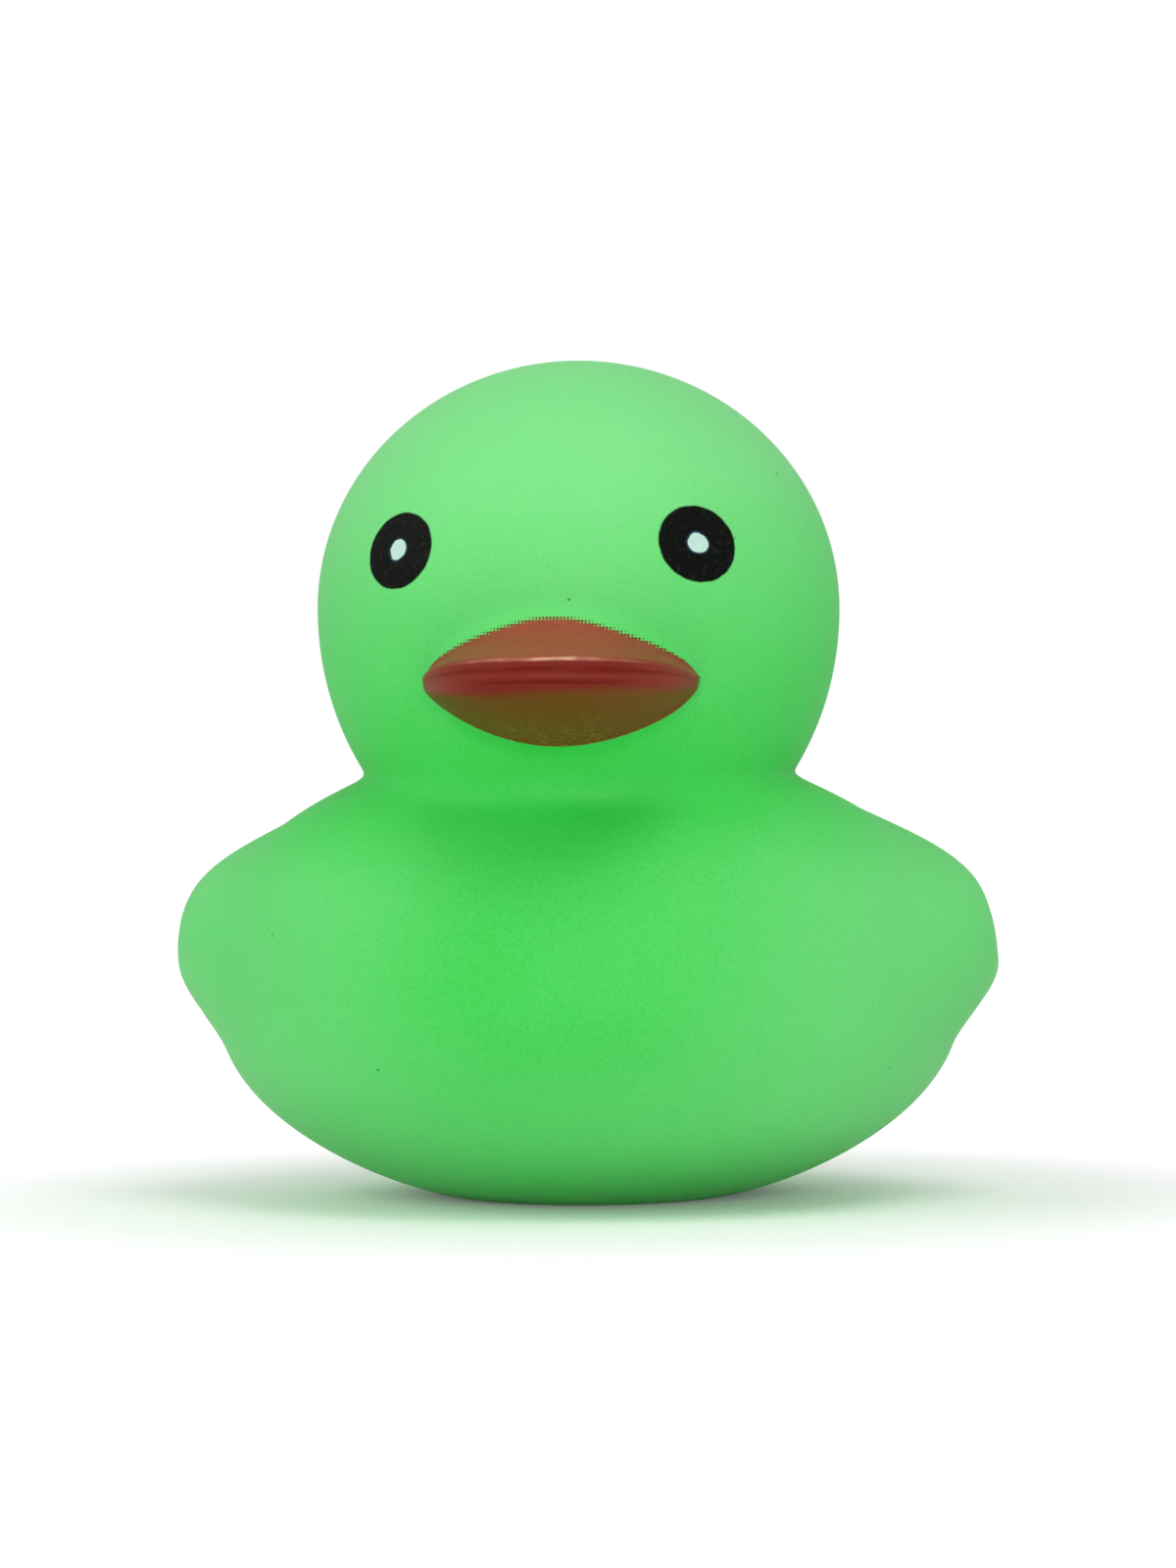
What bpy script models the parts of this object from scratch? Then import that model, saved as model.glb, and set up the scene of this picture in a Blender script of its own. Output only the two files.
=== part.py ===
"""Rubber duck: a squeaking bath toy, moulded hollow in soft vinyl, with a painted beak and printed eyes.

The duck looks along -Y and rests on the XY plane. The origin is on the floor, under the middle of the
duck. Sizes are in millimetres and become metres once, where a mesh is made.
"""

import math

import bmesh
import bpy
import numpy as np

MM = 0.001

# Whole duck
TOTAL_LENGTH = 56.0
TOTAL_HEIGHT = 50.0
WALL = 1.6
FIT_GAP = 0.3

# Head, a ball that is flatter above its widest level than below it
HEAD_RADIUS = 15.5
HEAD_ABOVE = 14.7
HEAD_BELOW = 17.05
HEAD_Y = -5.3
HEAD_Z = TOTAL_HEIGHT - HEAD_ABOVE

# Neck, where the head sinks into the body
NECK_Z = 25.4
NECK_FRONT_DROP = 1.0
NECK_BACK_RISE = 0.5
NECK_ROUND_SIDE = 0.45
NECK_ROUND_FRONT = 1.5
NECK_ROUND_SPREAD = 4.0

# Body
BODY_HALF_WIDTH = 22.4
BODY_WIDEST_Z = 11.3
BODY_Y = 1.0
BREAST_Y = -22.3
BREAST_Z = 13.0
BILGE_POWER = 1.35
SHOULDER_POWER = 3.4
BREAST_POWER = 2.3
BASE_Y = 2.5
BASE_HALF_WIDTH = 8.2
BASE_FRONT = 9.0
BASE_BACK = 9.5

# Rump and the upturned tail that leaves it behind the neck
RUMP_Y = 20.5
TAIL_Z = 25.0
TAIL_SHARPNESS = 16
TAIL_EASE = 0.3
LOW_SHARE = 0.52

# Wings, low lobes on the body's sides
WING_Y = 3.0
WING_Z = 17.4
WING_HALF_LENGTH = 15.5
WING_HALF_HEIGHT = 7.85
WING_OUT = 2.4
WING_TILT = math.radians(14)
WING_TAPER = 0.5
WING_EDGE = 0.61
WING_INNER_X = 7.0
WING_FADE = 6.0

# Beak
BEAK_TIP_Y = -TOTAL_LENGTH / 2
BEAK_HALF_ANGLE = math.radians(31.9)
BEAK_CORNER_Z = 30.65
BEAK_RISE = 3.95
BEAK_DROP = 3.45
BEAK_CORNER_HALF = 0.4
BEAK_TOP_POWER = 1.05
BEAK_UNDER_POWER = 0.85
BEAK_PLAN_POWER = 0.55
LIP_TOP_Z = 32.1
LIP_LOW_Z = 30.1
LIP_SET_BACK = 0.06
UNDER_FULLNESS = 0.5
TOP_HOLLOW = 0.35
LIP_LOW_AT = 0.4
LIP_TOP_AT = 0.6
BEHIND_BEAK_HALF = 3.0
BEHIND_BEAK_TURN = 1.2

# Printed eyes, each with its angle from the beak's middle and its height; the print sits a little askew
EYE_PLACES = {"right": (math.radians(-38.4), 38.3), "left": (math.radians(31.5), 38.6)}
EYE_HALF_WIDTH = 2.56
EYE_HALF_HEIGHT = 2.36
PUPIL_RADIUS = 0.65
PRINT_FILM = 0.12
PUPIL_FILM = 0.2
PRINT_ROOT = 0.7

# Squeaker, its seat in the base and the reed inside it
SEAT_RADIUS = 4.5
SEAT_GROOVE_RADIUS = 5.1
SEAT_GROOVE_Z = (2.3, 3.7)
BOSS_RADIUS = 7.0
BOSS_TOP = 5.6
PLUG_BOTTOM = 0.4
PLUG_TOP = 6.2
PLUG_BORE = 1.9
REED_RADIUS = 2.9
REED_THICKNESS = 0.4
REED_Z = 3.0
TONGUE_LENGTH = 2.4
TONGUE_WIDTH = 1.4
TONGUE_SLIT = 0.35

# How finely the skin is divided: rows go up the duck, columns from the breast round to the tail
BASE_ROWS, BILGE_ROWS, SHOULDER_ROWS, CHIN_ROWS, BEAK_ROWS, CROWN_ROWS = 2, 12, 13, 5, 12, 10
BEAK_COLUMNS, SIDE_COLUMNS = 8, 25
TURNED_STEPS = 32

# Colours are linear RGB
VINYL = ("vinyl_green", (0.13, 0.66, 0.17), 0.55)
BEAK_TOP_PAINT = ("beak_terracotta", (0.32, 0.10, 0.05), 0.45)
BEAK_MOUTH_PAINT = ("beak_crimson", (0.20, 0.028, 0.017), 0.45)
BEAK_UNDER_PAINT = ("beak_olive_brown", (0.11, 0.064, 0.012), 0.5)
EYE_PRINT = ("eye_black", (0.008, 0.009, 0.008), 0.4)
PUPIL_PRINT = ("pupil_white", (0.5, 0.75, 0.68), 0.4)
SQUEAKER_PLASTIC = ("squeaker_white", (0.75, 0.75, 0.72), 0.4)
REED_PLASTIC = ("reed_clear_film", (0.6, 0.62, 0.6), 0.3)


def smooth_step(x):
    x = np.clip(x, 0, 1)
    return x * x * (3 - 2 * x)


def spline(points, t):
    """A cubic B-spline through the neighbourhood of points, from the first (t=0) to the last (t=1)."""
    p = np.asarray(points, float)
    p = np.vstack([2 * p[0] - p[1], p, 2 * p[-1] - p[-2]])
    spans = len(p) - 3
    along = np.clip(t * spans, 0, spans - 1e-9)
    first = along.astype(int)
    f = (along - first)[:, None]
    weights = (
        (1 - f) ** 3,
        3 * f**3 - 6 * f**2 + 4,
        -3 * f**3 + 3 * f**2 + 3 * f + 1,
        f**3,
    )
    return sum(w * p[first + k] for k, w in enumerate(weights)) / 6


def head_radius(z):
    up = z - HEAD_Z
    high = np.where(up > 0, HEAD_ABOVE, HEAD_BELOW)
    return HEAD_RADIUS * np.sqrt(np.clip(1 - (up / high) ** 2, 0, 1))


def turns():
    """Angle of each column from the breast (0) to the tail (pi), closer together at the beak's corners."""
    beak = BEAK_HALF_ANGLE * np.sin(np.linspace(0, math.pi / 2, BEAK_COLUMNS + 1))
    w = np.linspace(0, 1, SIDE_COLUMNS + 1)[1:]
    eased = 0.7 * w + 0.3 * (1 - np.cos(math.pi * w)) / 2
    return np.concatenate([beak, BEAK_HALF_ANGLE + (math.pi - BEAK_HALF_ANGLE) * eased])


def outline(base, widest, neck, lower, upper):
    """One coordinate of a body line: from the base to the widest level, then on to the neck."""
    return np.concatenate([base + (widest - base) * lower, neck + (widest - neck) * upper])


def body_profiles():
    """The body's front, side, rump and tail lines from the base's edge to the neck, as rows of x, y, z."""
    round_up = np.linspace(0, math.pi / 2, BILGE_ROWS)
    out, up = np.sin(round_up) ** (2 / BILGE_POWER), 1 - np.cos(round_up)
    s = np.linspace(0, 1, SHOULDER_ROWS + 1)[1:]
    inward, down = 1 - s**SHOULDER_POWER, 1 - s
    breast_inward = 1 - s**BREAST_POWER

    side = [
        outline(BASE_HALF_WIDTH, BODY_HALF_WIDTH, head_radius(NECK_Z), out, inward),
        outline(BASE_Y, BODY_Y, HEAD_Y, out, down),
        outline(0, BODY_WIDEST_Z, NECK_Z, up, down),
    ]
    neck_front_z = NECK_Z - NECK_FRONT_DROP
    neck_front_y = HEAD_Y - head_radius(neck_front_z)
    front_y = outline(BASE_Y - BASE_FRONT, BREAST_Y, neck_front_y, out, breast_inward)
    front = [0 * front_y, front_y, outline(0, BREAST_Z, neck_front_z, up, down)]

    t = np.concatenate([np.linspace(0, LOW_SHARE, BILGE_ROWS), LOW_SHARE + (1 - LOW_SHARE) * s])
    return np.stack(front, 1), np.stack(side, 1), *back_profiles(t)


def back_profiles(t):
    """The rump's line and the tail's line at each share t of the way up, as rows of y, z."""
    neck_z, heel, tip = NECK_Z + NECK_BACK_RISE, BASE_Y + BASE_BACK, TOTAL_LENGTH / 2
    neck_y = HEAD_Y + head_radius(neck_z)
    rump_guide = [
        (heel, 0.0),
        (heel + 4.0, 0.6),
        (RUMP_Y - 1.6, 5.0),
        (RUMP_Y + 0.3, 11.0),
        (RUMP_Y - 0.8, 16.5),
        (RUMP_Y - 4.0, 19.6),
        (neck_y + 5.0, 21.3),
        (neck_y + 1.6, neck_z - 2.2),
        (neck_y, neck_z),
    ]
    tail_guide = [
        (heel, 0.0),
        (heel + 4.0, 0.6),
        (RUMP_Y, 5.0),
        (RUMP_Y + 3.2, 11.5),
        (tip - 2.6, TAIL_Z - 6.3),
        (tip, TAIL_Z - 2.4),
        (tip, TAIL_Z + 0.4),
        (tip - 3.6, TAIL_Z - 1.4),
        (tip - 8.5, TAIL_Z - 4.0),
        (neck_y + 4.5, 20.6),
        (neck_y + 1.6, neck_z - 2.6),
        (neck_y, neck_z),
    ]
    rump, tail = spline(rump_guide, t), spline(tail_guide, t)
    tail[:, 0] += (tip - tail[:, 0].max()) * smooth_step(t / TAIL_EASE) * smooth_step((1 - t) / TAIL_EASE)
    return rump, tail


def body_rings(angles, with_tail):
    """The body without wings: each row is a ring of four unlike quarters, with the tail at its back end."""
    front, side, rump, tail = body_profiles()
    c = np.cos(angles)
    rings = [side[:, :1] * np.sin(angles)]
    for axis, power in ((1, 1), (2, 2)):
        middle, back = side[:, axis : axis + 1], rump[:, axis - 1 : axis]
        end = np.where(c > 0, front[:, axis : axis + 1], back)
        line = middle + (end - middle) * np.abs(c) ** power
        if with_tail:
            narrow = np.where(c < 0, np.abs(c) ** TAIL_SHARPNESS, 0)
            line = line + (tail[:, axis - 1 : axis] - back) * narrow
        rings.append(line)
    return np.stack(rings, 2)


def add_wings(rings):
    """Pushes a tilted, teardrop-shaped lobe sideways out of the body."""
    x, y, z = np.moveaxis(rings, -1, 0)
    dy, dz = y - WING_Y, z - WING_Z
    along = (dy * math.cos(WING_TILT) + dz * math.sin(WING_TILT)) / WING_HALF_LENGTH
    across = (dz * math.cos(WING_TILT) - dy * math.sin(WING_TILT)) / WING_HALF_HEIGHT
    taper = 1 - WING_TAPER * np.clip(along, 0, 1)
    reach = np.hypot(along, across / taper)
    lobe = smooth_step((1 - reach) / WING_EDGE) * smooth_step((x - WING_INNER_X) / WING_FADE)
    out = rings.copy()
    out[..., 0] += WING_OUT * lobe
    return out


def beak_limits(angles):
    """Heights of the beak's lower and upper borders at each column, kept apart behind its corners."""
    share = np.clip(1 - (angles / BEAK_HALF_ANGLE) ** 2, 0, 1)
    behind = smooth_step((angles - BEAK_HALF_ANGLE) / BEHIND_BEAK_TURN)
    behind = behind * (BEHIND_BEAK_HALF - BEAK_CORNER_HALF)
    low = BEAK_CORNER_HALF + (BEAK_DROP - BEAK_CORNER_HALF) * share**BEAK_UNDER_POWER + behind
    high = BEAK_CORNER_HALF + (BEAK_RISE - BEAK_CORNER_HALF) * share**BEAK_TOP_POWER + behind
    return BEAK_CORNER_Z - low, BEAK_CORNER_Z + high, share


def head_rings(angles, neck_z, with_beak):
    """The head from just above the neck to the crown, with the beak drawn forward out of its rows."""
    low, high, share = beak_limits(angles)
    chin = np.linspace(0, 1, CHIN_ROWS + 1)[1:-1, None]
    t = np.linspace(0, 1, BEAK_ROWS + 1)[:, None]
    forward, height = beak_section(t, low, high, share)
    if not with_beak:
        height = low + (high - low) * t
    lift = np.arcsin(np.clip((high - HEAD_Z) / HEAD_BELOW, -1, 1))
    crown = np.linspace(0, 1, CROWN_ROWS + 1)[1:, None]
    slope = lift + (math.pi / 2 - lift) * crown
    top = HEAD_Z + np.where(slope > 0, HEAD_ABOVE, HEAD_BELOW) * np.sin(slope)
    z = np.vstack([neck_z + (low - neck_z) * chin, height, top])
    radius = head_radius(z)
    x, y = radius * np.sin(angles), HEAD_Y - radius * np.cos(angles)
    if with_beak:
        rows = slice(CHIN_ROWS - 1, CHIN_ROWS + BEAK_ROWS)
        corner_y = HEAD_Y - head_radius(BEAK_CORNER_Z) * math.cos(BEAK_HALF_ANGLE)
        lip_y = corner_y + (BEAK_TIP_Y - corner_y) * share**BEAK_PLAN_POWER
        y[rows] += (lip_y - y[rows]) * forward * (angles <= BEAK_HALF_ANGLE)
    return np.stack([x, y, z], 2)


def beak_section(t, low, high, share):
    """How far forward (0 to 1) and how high each row of the beak stands: underside, lip, then top."""
    opened = share**0.5
    half = (high - low) * (LIP_TOP_AT - LIP_LOW_AT) / 2 * (1 - opened)
    middle_z = BEAK_CORNER_Z * (1 - opened) + (LIP_LOW_Z + LIP_TOP_Z) / 2 * opened
    half = half + (LIP_TOP_Z - LIP_LOW_Z) / 2 * opened
    lip_low, lip_top = middle_z - half, middle_z + half
    under = np.clip(t / LIP_LOW_AT, 0, 1)
    over = np.clip((1 - t) / (1 - LIP_TOP_AT), 0, 1)
    across = np.clip((t - LIP_LOW_AT) / (LIP_TOP_AT - LIP_LOW_AT), 0, 1)
    below = low + (lip_low - low) * under ** (1 + UNDER_FULLNESS * opened)
    above = high + (lip_top - high) * over ** (1 - TOP_HOLLOW * opened)
    at_lip = lip_low + (lip_top - lip_low) * across
    height = np.where(t < LIP_LOW_AT, below, np.where(t > LIP_TOP_AT, above, at_lip))
    forward = np.where(t < LIP_LOW_AT, under, np.where(t > LIP_TOP_AT, over, 1))
    forward = forward * (1 - LIP_SET_BACK * (2 * across - 1) ** 2)
    return forward / forward.max(), height


def round_neck(rings, row, angles):
    """Averages the rows about the crease at the neck, over a longer way at the front than at the sides."""
    steps = np.linalg.norm(np.diff(rings, axis=0), axis=2).mean(1)
    run = np.concatenate([[0], np.cumsum(steps)])
    width = np.gradient(run)
    near = np.exp(-(((run - run[row]) / NECK_ROUND_SPREAD) ** 2))
    out = []
    for length in (NECK_ROUND_SIDE, NECK_ROUND_FRONT):
        reach = np.maximum(length * near, 0.02)[:, None]
        kernel = np.exp(-(((run[:, None] - run) / reach) ** 2) / 2) * width
        kernel /= kernel.sum(1, keepdims=True)
        out.append(np.einsum("ij,jkl->ikl", kernel, rings))
    ahead = (np.cos(angles) ** 2)[None, :, None]
    return out[0] + (out[1] - out[0]) * ahead


def skin(angles, with_detail):
    """All rows of one half, from the middle of the base to the crown, as an array rows x columns x 3."""
    body = body_rings(angles, with_detail)
    if with_detail:
        body = add_wings(body)
    middle = np.array([0.0, BASE_Y, 0.0])
    share = (np.arange(BASE_ROWS) / BASE_ROWS)[:, None, None]
    base = middle + (body[:1] - middle) * share
    rings = np.concatenate([base, body, head_rings(angles, body[-1, :, 2], with_detail)])
    return round_neck(rings, BASE_ROWS + BILGE_ROWS + SHOULDER_ROWS - 1, angles)


def mesh_of(name, points, faces):
    """A mesh of points that are given in millimetres."""
    mesh = bpy.data.meshes.new(name)
    mesh.from_pydata((points * MM).tolist(), [], faces)
    return mesh


def weld(mesh):
    """Merges the points that coincide at a pole or at the corners of the beak."""
    bm = bmesh.new()
    bm.from_mesh(mesh)
    bmesh.ops.remove_doubles(bm, verts=bm.verts, dist=1e-3 * MM)
    bmesh.ops.dissolve_degenerate(bm, edges=bm.edges, dist=1e-4 * MM)
    bm.to_mesh(mesh)
    bm.free()


def grid_faces(rows, columns):
    """Four-sided faces between neighbouring rows and columns, facing out of the duck."""
    first = (np.arange(rows - 1)[:, None] * columns + np.arange(columns - 1)).ravel()
    return np.stack([first, first + 1, first + columns + 1, first + columns], 1)


def material(look):
    name, colour, roughness = look
    made = bpy.data.materials.new(name)
    made.use_nodes = True
    shader = made.node_tree.nodes["Principled BSDF"]
    shader.inputs["Base Color"].default_value = (*colour, 1)
    shader.inputs["Roughness"].default_value = roughness
    shader.inputs["Metallic"].default_value = 0
    made.diffuse_color = (*colour, 1)
    return made


def add_object(name, mesh, home, looks=()):
    made = bpy.data.objects.new(name, mesh)
    home.objects.link(made)
    for look in looks:
        mesh.materials.append(look)
    return made


def add_helper(name, mesh, home, looks=()):
    made = add_object(name, mesh, home, looks)
    made.hide_render = True
    made.display_type = "WIRE"
    return made


def add_boolean(obj, other, operation):
    cut = obj.modifiers.new(other.name, "BOOLEAN")
    cut.operation = operation
    cut.object = other
    cut.solver = "EXACT"
    cut.material_mode = "TRANSFER"


def add_mirror(obj):
    mirror = obj.modifiers.new("other_half", "MIRROR")
    mirror.use_axis = (True, False, False)
    mirror.use_clip = True
    mirror.merge_threshold = 1e-3 * MM


def half_mesh(name, rings):
    rows, columns = rings.shape[:2]
    points = rings.reshape(-1, 3).copy()
    points[:, 0] = np.maximum(points[:, 0], 0)
    points[::columns, 0] = 0
    points[columns - 1 :: columns, 0] = 0
    return mesh_of(name, points, grid_faces(rows, columns).tolist())


def add_skin(parts, looks):
    """The duck's outer surface, modelled as its left half and mirrored."""
    angles = turns()
    rings = skin(angles, True)
    mesh = half_mesh("duck_body", rings)
    columns = len(angles) - 1
    row, column = np.divmod(np.arange(len(mesh.polygons)), columns)
    first = BASE_ROWS + BILGE_ROWS + SHOULDER_ROWS + CHIN_ROWS - 1
    t = (row - first + 0.5) / BEAK_ROWS
    slot = np.where(t < LIP_LOW_AT, 3, np.where(t < LIP_TOP_AT, 2, 1))
    slot = np.where((t > 0) & (t < 1) & (column < BEAK_COLUMNS), slot, 0)
    for look in looks:
        mesh.materials.append(look)
    mesh.polygons.foreach_set("material_index", slot.astype(np.int32))
    weld(mesh)
    body = add_object("duck_body", mesh, parts)
    add_mirror(body)
    return body


def outward(rings):
    along, up = np.gradient(rings, axis=1), np.gradient(rings, axis=0)
    normal = np.cross(along, up)
    return normal / np.maximum(np.linalg.norm(normal, axis=2, keepdims=True), 1e-9)


def add_hollow(helpers):
    """The air inside: the same skin without beak and wings, on fewer columns, set in by the wall."""
    angles = np.linspace(0, math.pi, SIDE_COLUMNS // 2 + 5)
    rings = skin(angles, False)
    inner = rings - outward(rings) * WALL
    inner[0] = inner[0].mean(0) * (0, 1, 0) + (0, 0, WALL)
    inner[:BASE_ROWS, :, 2] = WALL
    inner[-1] = (0, HEAD_Y, TOTAL_HEIGHT - WALL)
    rows = np.append(np.arange(0, len(inner) - 1, 2), len(inner) - 1)
    mesh = half_mesh("hollow", inner[rows])
    weld(mesh)
    hollow = add_helper("hollow", mesh, helpers)
    add_mirror(hollow)
    return hollow


def add_cylinder(name, radius, bottom, top, home, looks=(), segments=TURNED_STEPS):
    bm = bmesh.new()
    wide, depth = radius * MM, (top - bottom) * MM
    bmesh.ops.create_cone(bm, cap_ends=True, segments=segments, radius1=wide, radius2=wide, depth=depth)
    mesh = bpy.data.meshes.new(name)
    bm.to_mesh(mesh)
    bm.free()
    made = add_helper(name, mesh, home, looks)
    made.location = (0, BASE_Y * MM, (top + bottom) / 2 * MM)
    return made


def add_turned(name, profile, home, closed, looks=(), helper=False):
    """A profile of (radius, height), from its top down its outer side, turned about the base's middle."""
    bm = bmesh.new()
    verts = [bm.verts.new((r * MM, 0, z * MM)) for r, z in profile]
    for a, b in zip(verts, verts[1:] + verts[:1] if closed else verts[1:]):
        bm.edges.new((a, b))
    mesh = bpy.data.meshes.new(name)
    bm.to_mesh(mesh)
    bm.free()
    made = (add_helper if helper else add_object)(name, mesh, home, looks)
    made.location = (0, BASE_Y * MM, 0)
    screw = made.modifiers.new("turn", "SCREW")
    screw.steps = screw.render_steps = TURNED_STEPS
    screw.use_merge_vertices = True
    screw.merge_threshold = 1e-3 * MM
    screw.use_smooth_shade = False
    return made


def add_seat(helpers):
    """The hole for the squeaker, with a groove that its rib snaps into."""
    low, high = SEAT_GROOVE_Z
    lead = SEAT_GROOVE_RADIUS - SEAT_RADIUS
    profile = [
        (0, BOSS_TOP + 1),
        (SEAT_RADIUS, BOSS_TOP + 1),
        (SEAT_RADIUS, high),
        (SEAT_GROOVE_RADIUS, high - lead / 2),
        (SEAT_GROOVE_RADIUS, low + lead / 2),
        (SEAT_RADIUS, low),
        (SEAT_RADIUS, -1),
        (0, -1),
    ]
    return add_turned("seat", profile, helpers, closed=False, helper=True)


def add_plug(parts, look):
    """The moulded squeaker: a short tube with a snap rib outside and a groove inside for the reed."""
    low, high = SEAT_GROOVE_Z
    lead = SEAT_GROOVE_RADIUS - SEAT_RADIUS
    radius, rib = SEAT_RADIUS - FIT_GAP, SEAT_GROOVE_RADIUS - FIT_GAP
    pocket = REED_RADIUS + FIT_GAP
    pocket_top, pocket_low = REED_Z + REED_THICKNESS / 2 + FIT_GAP, REED_Z - REED_THICKNESS / 2 - FIT_GAP
    profile = [
        (PLUG_BORE, PLUG_TOP),
        (radius - FIT_GAP, PLUG_TOP),
        (radius, PLUG_TOP - FIT_GAP),
        (radius, high - FIT_GAP),
        (rib, high - FIT_GAP - lead / 2),
        (rib, low + FIT_GAP + lead / 2),
        (radius, low + FIT_GAP),
        (radius, PLUG_BOTTOM),
        (PLUG_BORE, PLUG_BOTTOM),
        (PLUG_BORE, pocket_low),
        (pocket, pocket_low),
        (pocket, pocket_top),
        (PLUG_BORE, pocket_top),
    ]
    return add_turned("squeaker", profile, parts, closed=True, looks=[look])


def add_reed(parts, helpers, look):
    """The thin disc that sounds, with a tongue cut free on three sides."""
    top, low = REED_Z + REED_THICKNESS / 2, REED_Z - REED_THICKNESS / 2
    profile = [(0, top), (REED_RADIUS, top), (REED_RADIUS, low), (0, low)]
    reed = add_turned("squeaker_reed", profile, parts, closed=False, looks=[look])
    half, reach, slit = TONGUE_WIDTH / 2, TONGUE_LENGTH / 2, TONGUE_SLIT
    outline = [
        (-half - slit, -reach),
        (-half, -reach),
        (-half, reach),
        (half, reach),
        (half, -reach),
        (half + slit, -reach),
        (half + slit, reach + slit),
        (-half - slit, reach + slit),
    ]
    bm = bmesh.new()
    face = bm.faces.new([bm.verts.new((x * MM, y * MM, (low - 1) * MM)) for x, y in outline])
    made = bmesh.ops.extrude_face_region(bm, geom=[face])["geom"]
    lifted = [v for v in made if isinstance(v, bmesh.types.BMVert)]
    bmesh.ops.translate(bm, verts=lifted, vec=(0, 0, (REED_THICKNESS + 2) * MM))
    bmesh.ops.recalc_face_normals(bm, faces=bm.faces)
    mesh = bpy.data.meshes.new("tongue_slit")
    bm.to_mesh(mesh)
    bm.free()
    slit_cutter = add_helper("tongue_slit", mesh, helpers)
    slit_cutter.location = (0, BASE_Y * MM, 0)
    add_boolean(reed, slit_cutter, "DIFFERENCE")
    return reed


def add_print(name, place, half_width, half_height, film, helpers, look):
    """A spot of print: a short column through the head's skin, trimmed to a ball one film larger."""
    angle, z = place
    head, radii = np.array([0, HEAD_Y, HEAD_Z]), np.array([HEAD_RADIUS, HEAD_RADIUS, HEAD_ABOVE])
    spot = np.array([head_radius(z) * math.sin(angle), HEAD_Y - head_radius(z) * math.cos(angle), z])
    normal = (spot - head) / radii**2
    normal /= np.linalg.norm(normal)
    side = np.cross((0, 0, 1), normal)
    side /= np.linalg.norm(side)
    above = np.cross(normal, side)
    bm = bmesh.new()
    bmesh.ops.create_cone(bm, cap_ends=True, segments=TURNED_STEPS, radius1=1, radius2=1, depth=2)
    for v in bm.verts:
        x, y, z = v.co
        deep = 2.0 if z > 0 else -PRINT_ROOT
        v.co = (spot + side * x * half_width + above * y * half_height + normal * deep) * MM
    mesh = bpy.data.meshes.new(name)
    bm.to_mesh(mesh)
    bm.free()
    made = add_helper(name, mesh, helpers, [look])

    bm = bmesh.new()
    bmesh.ops.create_uvsphere(bm, u_segments=72, v_segments=48, radius=1)
    for v in bm.verts:
        v.co = (np.array(v.co) * (radii + film) + head) * MM
    ball_mesh = bpy.data.meshes.new(name + "_ball")
    bm.to_mesh(ball_mesh)
    bm.free()
    ball = add_helper(name + "_ball", ball_mesh, helpers, [look])
    add_boolean(made, ball, "INTERSECT")
    return made


def main():
    for obj in list(bpy.data.objects):
        bpy.data.objects.remove(obj, do_unlink=True)
    parts = bpy.data.collections.new("rubber_duck")
    helpers = bpy.data.collections.new("cutters")
    for collection in (parts, helpers):
        bpy.context.scene.collection.children.link(collection)

    skin_looks = [material(m) for m in (VINYL, BEAK_TOP_PAINT, BEAK_MOUTH_PAINT, BEAK_UNDER_PAINT)]
    body = add_skin(parts, skin_looks)
    hollow = add_hollow(helpers)
    add_boolean(body, hollow, "DIFFERENCE")
    boss = add_cylinder("boss", BOSS_RADIUS, WALL / 2, BOSS_TOP, helpers)
    add_boolean(body, boss, "UNION")
    add_boolean(body, add_seat(helpers), "DIFFERENCE")
    black, white = material(EYE_PRINT), material(PUPIL_PRINT)
    for side, place in EYE_PLACES.items():
        eye = add_print(f"eye_{side}", place, EYE_HALF_WIDTH, EYE_HALF_HEIGHT, PRINT_FILM, helpers, black)
        pupil = add_print(f"pupil_{side}", place, PUPIL_RADIUS, PUPIL_RADIUS, PUPIL_FILM, helpers, white)
        add_boolean(body, eye, "UNION")
        add_boolean(body, pupil, "UNION")
    body.data.shade_smooth()
    body.data.set_sharp_from_angle(angle=math.radians(40))

    add_plug(parts, material(SQUEAKER_PLASTIC))
    add_reed(parts, helpers, material(REED_PLASTIC))


main()
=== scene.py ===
# %% [markdown]
# # A rubber duck
#
# This lesson dresses a small bath duck: a hollow body of soft green vinyl with a painted bill and printed
# eyes, standing on a flat base with a squeaker pressed into it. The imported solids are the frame. The skin
# is worked out again here on a much finer grid, from the same sizes, and takes the plain skin's place.

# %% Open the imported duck
import math

import bpy
import numpy as np
from mathutils import Matrix, Vector


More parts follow.
